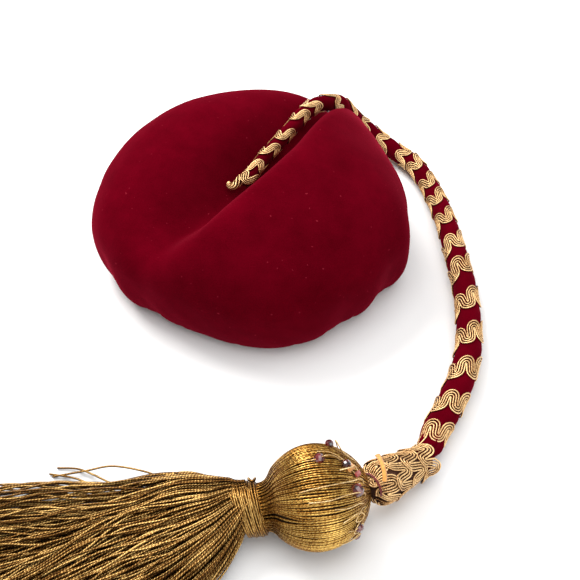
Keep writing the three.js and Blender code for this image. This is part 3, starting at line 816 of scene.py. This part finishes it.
def ballPieces():
    # threads: azimuth i / n of a turn with a slow wander, pushed apart at a gap near the neck, from
    # the collar over the ball and on into the neck
    polar, azimuth = grid(np.linspace(math.pi - 0.5, 0.06, ball["coreRows"]), ball["coreSides"])
    rings = ballPlace(polar, azimuth, np.full(polar.shape, ball["radius"] - ball["padding"]))
    core = ringSurface("ballCore", rings, rings[0].mean(0), rings[-1].mean(0))
    finish(core, "gold_thread", [threadCore], "tassel_ball")
    n = ball["threads"]
    i = np.arange(n)[:, None]
    degrees = np.linspace(*ball["run"], ball["steps"])[None, :] + np.zeros((n, 1))
    polar = np.radians(degrees)
    wander = sum(chance.normal(0, size, (n, 1)) * np.sin(polar * waves + chance.uniform(0, tau, (n, 1)))
                 for size, waves in ball["wander"])
    azimuth = (i + chance.uniform(-ball["uneven"], ball["uneven"], (n, 1))) * tau / n + wander
    push, gapReach, start, full = ball["gap"]
    off = (azimuth - math.radians(ball["gapAt"]) + math.pi) % tau - math.pi
    lone = np.abs(off[:, :1]) == np.abs(off[:, :1]).min()
    part = np.sign(off) * np.exp(-np.abs(off) / gapReach) * push * ease(degrees, start, full)
    azimuth = azimuth + np.where(lone, 0, part)
    crowd = 1 - np.sin(polar)
    layer = (i % 3) * 0.8 * crowd + chance.normal(0, 0.10, (n, 1))
    radius = ball["radius"] - 0.35 + layer * ease(crowd, 0, 0.5) - 1.0 * ease(degrees, 138, 156)
    centre = ballPlace(polar, azimuth, radius)
    inNeck = neckPlace(-5.5 + (degrees - 140) / 28 * (5.5 + ball["inNeck"]), math.pi - azimuth,
                       ball["neckRadius"] + (i % 3) * 0.65 + 0 * degrees)
    centre = centre + (inNeck - centre) * ease(degrees, *ball["leaves"])[..., None]
    outward = centre - np.array(ball["centre"])
    turned = degreesOff(azimuth, 155)  # painted highlight round the middle of the near side, painted shade below it and towards the neck
    # tone: a painted highlight and painted shade, and each thread's own tone at random
    tone = (0.38 + 0.30 * bell((degrees - 80) / 34) * bell((turned - 25) / 42)
            - 0.16 * ease(degrees, 110, 155) - 0.4 * ease(turned, 55, 90) + chance.normal(0, 0.09, (n, 1)))
    threads = tubes("ballThreads", centre, outward, ball["threadRadius"], ball["sides"], np.clip(tone, 0, 1))
    finish(threads, "gold_thread", [ballMaterial])
    return core, threads


# besides colours, each thread look weighs the painted shade on a thread's sides, the painted twist highlights
# and the painted glints
threadLook = {
    "metallic": 0.9, "rough": 0.32, "pitch": 2.2, "plies": 2, "depth": 0.0001, "cloud": 60, "glint": 2.4,
    "sparkle": 0.9, "twistPaintedLightShare": 0.1, "own": 0.5,
}
ballMaterial = wrappedThread("ballThread", dict(
    threadLook, dark=(0.035, 0.011, 0.002), mid=(0.24, 0.098, 0.012), bright=(0.92, 0.60, 0.16),
    metallic=0.92, rough=0.27, glint=2.2, sparkle=1.0, crestLiftAndPaintedShade=0.66, base=-0.03))
goldMaterial = wrappedThread("goldThread", dict(
    threadLook, dark=(0.025, 0.009, 0.002), mid=(0.17, 0.072, 0.012), bright=(0.80, 0.51, 0.17),
    rough=0.34, pitch=1.8, depth=0.0002, cloud=40, crestLiftAndPaintedShade=0.36, twistPaintedLightShare=0.28, base=0.10))
neckMaterial = wrappedThread("neckThread", dict(
    threadLook, dark=(0.03, 0.010, 0.002), mid=(0.22, 0.095, 0.015), bright=(0.86, 0.56, 0.18),
    plies=1, depth=0.00004, glint=2.6, crestLiftAndPaintedShade=0.6, twistPaintedLightShare=0.06, base=-0.10))
threadCore = coreMaterial("threadCore", (0.10, 0.045, 0.008))
ballCore, ballThreads = ballPieces()


def strayPiece():
    # loose pale threads at the collar end of the ball, each a smooth curve through its row's points
    lines = np.stack([evenRoute(row, 16, ballStrays["steps"]) for row in ballStrays["rows"]])
    centre = ballPlace(np.radians(lines[..., 0]), np.radians(lines[..., 1]), ball["radius"] + lines[..., 2])
    piece = tubes("ballStrays", centre, centre - np.array(ball["centre"]), ballStrays["radius"],
                  ballStrays["sides"], np.linspace(0.5, 0.95, len(lines)))
    return finish(piece, "gold_thread", [paleMaterial])


ballStrays = {
    "radius": 0.36, "steps": 60, "sides": 7,
    # a row for each thread: degrees from the collar, degrees round the ball, lift
    "rows": [
        [(100, 78, 0.6), (88, 79, 1.6), (80, 80, 4.6), (73, 80, 4.4), (64, 78, 1.4), (52, 74, 0.8),
         (40, 78, 0.4)],
        [(86, 66, 0.6), (74, 68, 1.2), (62, 76, 1.6), (52, 88, 1.0), (42, 96, 0.6)],
        [(112, 112, 0.4), (90, 110, 0.9), (70, 108, 1.2), (56, 106, 2.0), (47, 104, 4.6), (38, 108, 2.0)],
        [(104, 124, 0.4), (82, 124, 1.0), (64, 121, 1.6), (53, 120, 4.2), (42, 122, 3.4), (34, 128, 1.0)],
        [(78, 134, 0.5), (62, 136, 1.2), (50, 134, 2.2), (40, 138, 1.4)],
        [(70, 152, 0.4), (58, 147, 1.6), (50, 146, 2.4), (45, 152, 2.8), (49, 158, 2.6), (56, 155, 2.2),
         (54, 148, 2.8), (44, 144, 1.6), (35, 148, 0.6)],
        [(64, 168, 0.4), (55, 170, 1.6), (47, 166, 2.2), (46, 173, 2.4), (53, 178, 2.0), (58, 172, 1.8),
         (50, 162, 1.6), (38, 160, 0.6)],
        [(72, 190, 0.4), (60, 192, 1.2), (52, 186, 2.0), (48, 194, 2.2), (55, 200, 1.4), (42, 206, 0.6)],
        [(60, 42, 0.5), (66, 50, 4.6), (58, 60, 1.6), (48, 64, 1.0), (38, 60, 0.6)],
        [(66, 92, 0.5), (56, 90, 3.6), (48, 84, 2.6), (40, 88, 0.8)],
    ],
}
paleMaterial = wrappedThread("paleThread", dict(
    threadLook, dark=(0.10, 0.04, 0.008), mid=(0.45, 0.25, 0.075), bright=(1.0, 0.78, 0.42),
    metallic=0.8, pitch=1.8, sparkle=0.8, crestLiftAndPaintedShade=0.25, twistPaintedLightShare=0.12, base=0.28))
strays = strayPiece()


# Neck: a thread wound round, with a knotted loop

def neckPieces():
    # core a cylinder; windings: two leaning layers of a thread in even turns, with small waves; knot: an
    # oval loop
    start, end, deep = neck["core"]
    s, angle = grid(np.linspace(start, end, 24), 48)
    rings = neckPlace(s, angle, np.full(s.shape, neck["radius"] - deep))
    core = ringSurface("neckCore", rings, rings[0].mean(0), rings[-1].mean(0))
    finish(core, "gold_thread", [threadCore], "tassel_neck")
    start, end, lift, phase, turns = np.array(neck["windings"]).T[..., None]
    share = np.linspace(0, 1, neck["steps"])[None, :]
    turn = turns * share
    s = start + (end - start) * share + 0.3 * np.sin(turn * tau + phase) + 0.25 * np.sin(turn * 2.7 * tau)
    radius = neck["radius"] - 0.5 + lift + 0.25 * np.sin(turn * 1.3 * tau + phase)
    radius = radius - 0.9 * ((s / neck["length"] - 0.5) * 2) ** 4
    angle = turn * tau + phase
    near, more, way = neck["lean"]
    s = s + (near + more * s / neck["length"]) * np.cos(angle - math.radians(way))
    centre = neckPlace(s, angle, radius)
    outward = centre - np.mean(neck["ends"], axis=0)
    winding = tubes("neckWinding", centre, outward, neck["thread"], neck["sides"], (0.5, 0.6))
    finish(winding, "gold_thread", [neckMaterial])
    at, way, long, slant, wide, stand, thick = neck["knot"]
    a = np.linspace(0, 1.08 * tau, 70)[None, :]
    loop = neckPlace(at + long * np.cos(a) + slant * np.sin(a), math.radians(way) + wide * np.sin(a),
                     neck["radius"] + stand + 0.3 * np.cos(a * 2) + 0.5 * a / tau)
    knot = tubes("neckKnot", loop, loop - np.array(neck["ends"][0]), thick, neck["sides"], (0.6,))
    finish(knot, "gold_thread", [neckMaterial])
    return core, winding, knot


neckCore, neckWinding, neckKnot = neckPieces()


# Skirt: loose threads that fan out over the floor

skirt = {
    # length, half width and half height at the neck; direction, half spread, and how much less of it
    # at the tips, in degrees; half height at the tips
    "length": 160, "width": 14, "height": 14.5, "turn": 203, "spread": 36, "gather": 10, "tipLow": 3,
    # how far inside the neck the threads start, and how uneven their ends are
    "inside": 9, "uneven": (-9, 6), "thread": 0.66, "steps": 60, "sides": 5, "stray": 0.055,
    # how far the sides swell out behind the neck, where, over what length; lean of the threads' start
    "bulge": (8.5, 28, 28), "lean": 4.5,
    # waves that bunch the threads: turns across the fan, length along it, size
    "bunch": [(3.3, 38, 0.035), (6.1, 27, 0.028), (11.3, 19, 0.02)],
    "strands": [
        [(-36, -203, 9), (-47, -193, 8), (-57, -187, 7), (-77, -182, 5), (-93, -184, 3), (-112, -187, 1.5)],
        [(-60, -200, 8), (-76, -194, 6), (-88, -187, 4), (-98, -182, 2), (-110, -181, 1.2)],
        [(-62, -203, 8), (-84, -196, 5), (-98, -189, 3), (-114, -185, 1.2)],
        [(-64, -205, 8), (-86, -199, 5), (-100, -193, 3), (-118, -191, 1.2)],
    ],
    # height in the bundle, threads
    "layers": [(-0.85, 40), (-0.6, 56), (-0.3, 64), (0.0, 70), (0.3, 70), (0.58, 66), (0.84, 56)],
}


def skirtPlace(v, h, r):
    # v across the fan, h up through it, r from the neck: straight flow lines at turn - v * spread,
    # and a bundle that starts round and lies flat towards the tips
    turn = np.radians(skirt["turn"] - v * (skirt["spread"] - skirt["gather"] * r / skirt["length"]))
    swell, at, long = skirt["bulge"]
    x = neck["ends"][1][0] - 1.6 + r * np.cos(turn) - skirt["lean"] * v * (1 - ease(r, 0, 50))
    y = neck["ends"][1][1] + skirt["width"] * v + r * np.sin(turn) + swell * v * bell((r - at) / long)
    k = np.clip(r / skirt["length"], 0, 1)
    half = skirt["height"] * (1 - k)**0.8 + skirt["tipLow"] * k
    mid = np.maximum(neck["ends"][1][2] - r * 0.35, half)
    return np.stack([x, y, mid + half * h], -1)


def skirtThreads(name, layers):
    # thread: v and h fixed at the neck, v then shifted by slow waves that the whole bundle shares, so
    # that threads bunch and part, and by waves of each thread's own
    v, h = [], []
    for height, count in layers:
        edge = math.sqrt(1 - height**2) * 0.5 + 0.5
        spot = (np.arange(count) + 0.5 + chance.uniform(-0.35, 0.35, count)) / count * 2 - 1
        v.append(spot * edge * 0.97)
        h.append(height + chance.uniform(-0.14, 0.14, count))
    v, h = np.concatenate(v)[:, None], np.concatenate(h)[:, None]
    n = len(v)
    length = skirt["length"] + chance.uniform(*skirt["uneven"], (n, 1))
    r = -skirt["inside"] + (length + skirt["inside"]) * np.linspace(0, 1, skirt["steps"])
    stray = chance.normal(0, 1, (n, 1)) * ease(r, 10, 120)
    phase = chance.uniform(0, tau, (n, 4))
    start = v * (1 - 0.1 * ease(-r, 0, 5))
    drift = sum(size * np.sin(many * v + r / long + many * 1.7 + h * 1.3)
                for many, long, size in skirt["bunch"])
    v = start + drift * ease(r, 4, 60) + skirt["stray"] * stray
    place = skirtPlace(v, h * (1 - 0.12 * ease(-r, -2, 5)), r)
    swing = ease(r, 6, 60)
    sideways = (1.1 * np.sin(r / 7.9 + phase[:, :1]) + 2.0 * np.sin(r / 19 + phase[:, 1:2])
                + 1.2 * np.sin(r / 41 + phase[:, 3:])) * swing
    turn = np.radians(skirt["turn"] - v * skirt["spread"])
    place[..., 0] += -np.sin(turn) * sideways
    place[..., 1] += np.cos(turn) * sideways
    place[..., 2] += (0.9 * np.sin(r / 10 + phase[:, 2:3]) + 0.9 * np.sin(r / 24 + phase[:, 3:])) * swing
    place[..., 2] = np.maximum(place[..., 2], skirt["thread"] + 0.1)
    tone = np.clip(chance.normal(0.46, 0.22, n), 0, 1)
    return tubes(name, place, np.broadcast_to([0, 0, 1.0], place.shape), skirt["thread"], skirt["sides"],
                 tone)


def strandPiece():
    # a few strands that stand away from the skirt's far edge, each a smooth curve through its points
    centre = np.stack([evenRoute(row, 20, 90) for row in skirt["strands"]])
    return tubes("skirtStrands", centre, np.broadcast_to([0, 0, 1.0], centre.shape),
                 skirt["thread"] * 0.95, 8, np.full(len(centre), 0.45))


finish(skirtThreads("skirtUnder", skirt["layers"][:4]), "gold_thread", [goldMaterial], "tassel_skirt")
finish(skirtThreads("skirtTop", skirt["layers"][4:]), "gold_thread", [goldMaterial])
finish(strandPiece(), "gold_thread", [goldMaterial])


# Beads, and the pieces of tape at the collar

beads = {
    # angle from the collar end of the ball, angle round it, radius
    "rows": [
        (70, 44, 2.6), (86, 78, 3.0), (57, 83, 2.8), (49, 117, 3.8),
        (50, 172, 2.8), (50, 212, 2.6), (52, 238, 2.6), (54, 330, 2.6),
    ],
    "sunk": 0.42, "around": 12,
    # barrel with a drilled hole: along the axis, out from it, in radii
    "profile": [
        (-0.80, 0.30), (-0.86, 0.52), (-0.5, 0.88), (0, 1.0), (0.5, 0.88), (0.86, 0.52), (0.80, 0.30),
    ],
}


def beadPiece(number, polar, azimuth, radius):
    # a cut glass bead: flat facets on the profile turned round an axis, which differs from bead to bead
    axis = unit(np.array([math.cos(number * 1.7), math.sin(number * 1.7), 0.35]))
    at = ballPlace(np.radians(polar), np.radians(azimuth), ball["radius"] + radius * beads["sunk"])
    row, angle = grid(np.arange(len(beads["profile"])), beads["around"])
    along, out = radius * np.array(beads["profile"])[row].transpose(2, 0, 1)
    rings = aroundAxis((at, at + axis), along, angle, out)
    piece = ringSurface(f"glassBead{number}", rings, at - axis * radius * 0.5, at + axis * radius * 0.5)
    piece.data.shade_flat()
    return finish(piece, "garnet", [garnetGlass], f"bead_{number}")


garnetGlass = glassMaterial()
beadPieces = [beadPiece(n + 1, *row) for n, row in enumerate(beads["rows"])]

tape = {
    # distance along the collar, angle round it, length, width, stand, lean along the collar
    "strip": (6.8, 78, 17, 3.0, 1.7, -10.5), "ring": (0.6, 105, 27, 2.4, 1.6, 0.0),
    "thick": 0.7, "sides": 12, "bend": 12,
    # stubs on the ball: angle from the collar, angle round, length, width
    "orange": (51, 84, 5.5, 4.0), "red": (41, 90, 5.0, 3.0),
}


def flatTube(name, place, outward, width):
    # a flat oval section, width by tape["thick"], carried along a line
    a = np.arange(tape["sides"]) / tape["sides"] * tau
    flat = 1 / np.sqrt((np.cos(a) / (tape["thick"] / 2))**2 + (np.sin(a) / (width / 2))**2)
    return tubes(name, place, outward, flat, tape["sides"])


def tapePiece(name, row, rise, material, *nodes):
    # a strip round the collar, its ends lifting by rise
    s, turn, length, width, lift, lean = row
    share = np.linspace(-0.5, 0.5, 40)[None, :]
    angle = math.radians(turn) + share * length / tape["bend"]
    lift = lift + rise * np.abs(share * 2)**3
    place = collarPlace(s + lean * share, angle, lift)
    outward = place - collarPlace(s + lean * share, angle, lift - 5)
    return finish(flatTube(name, place, outward, width), "tape", [material], *nodes)


def stubPiece(name, row, material):
    # a short end of tape that lies on the ball
    polar, azimuth, length, width = row
    share = np.linspace(-0.5, 0.5, 16)[None, :]
    along = np.radians(polar) + share * length / ball["radius"]
    place = ballPlace(along, math.radians(azimuth) + 0.2 * share, ball["radius"] + 1.5 - 2.4 * share**2)
    return finish(flatTube(name, place, place - np.array(ball["centre"]), width), "tape", [material])


orangeTape = tapeMaterial("orangeTape", (0.62, 0.22, 0.03), (1.0, 0.46, 0.10))
redTape = tapeMaterial("redTape", (0.05, 0.003, 0.004), (0.22, 0.010, 0.010))
brightRedTape = tapeMaterial("brightRedTape", (0.20, 0.010, 0.008), (0.52, 0.035, 0.02))
tapePieces = [
    tapePiece("tapeStrip", tape["strip"], 1.6, orangeTape, "loose_tape"),
    tapePiece("tapeRing", tape["ring"], 0.0, redTape),
    stubPiece("tapeStubOrange", tape["orange"], orangeTape),
    stubPiece("tapeStubRed", tape["red"], brightRedTape),
]


# Floor and light

studio = {
    "floor": (0.86, 0.86, 0.86), "reach": 6, "world": 0.5, "aim": (0.02, -0.06, 0.03),
    # name, place, size, power, colour
    "lights": [
        ("keyLight", (-0.75, 0.75, 1.25), 0.9, 34, (1, 0.98, 0.96)),
        ("fillLight", (0.9, -1.1, 0.8), 1.0, 7, (1, 1, 1)),
        ("topLight", (0.1, -0.1, 1.6), 1.4, 18, (1, 1, 1)),
    ],
}


def floorPiece():
    # one square of pale paper at z 0, 2 * reach wide
    mesh = bpy.data.meshes.new("floor")
    far = studio["reach"]
    mesh.from_pydata([(-far, -far, 0), (far, -far, 0), (far, far, 0), (-far, far, 0)], [], [(0, 1, 2, 3)])
    floor = bpy.data.objects.new("floor", mesh)
    bpy.context.scene.collection.objects.link(floor)
    paint = Paint("floorPaper", **{"Base Color": (*studio["floor"], 1), "Roughness": 0.9})
    mesh.materials.append(paint.material)


def lightPieces():
    # square lamps turned towards the aim point, and an even white world
    for name, place, size, power, color in studio["lights"]:
        lamp = bpy.data.lights.new(name, "AREA")
        lamp.size, lamp.energy, lamp.color = size, power, color
        light = bpy.data.objects.new(name, lamp)
        light.location = place
        aim = np.array(studio["aim"]) - np.array(place)
        light.rotation_euler = (math.atan2(math.hypot(aim[0], aim[1]), -aim[2]), 0,
                                math.atan2(aim[1], aim[0]) - math.pi / 2)
        bpy.context.scene.collection.objects.link(light)
    world = bpy.data.worlds.new("studio")
    world.use_nodes = True
    world.node_tree.nodes["Background"].inputs["Color"].default_value = (1, 1, 1, 1)
    world.node_tree.nodes["Background"].inputs["Strength"].default_value = studio["world"]
    bpy.context.scene.world = world


floorPiece()
lightPieces()
bpy.context.scene.view_settings.view_transform = "Standard"
print("studio ready")
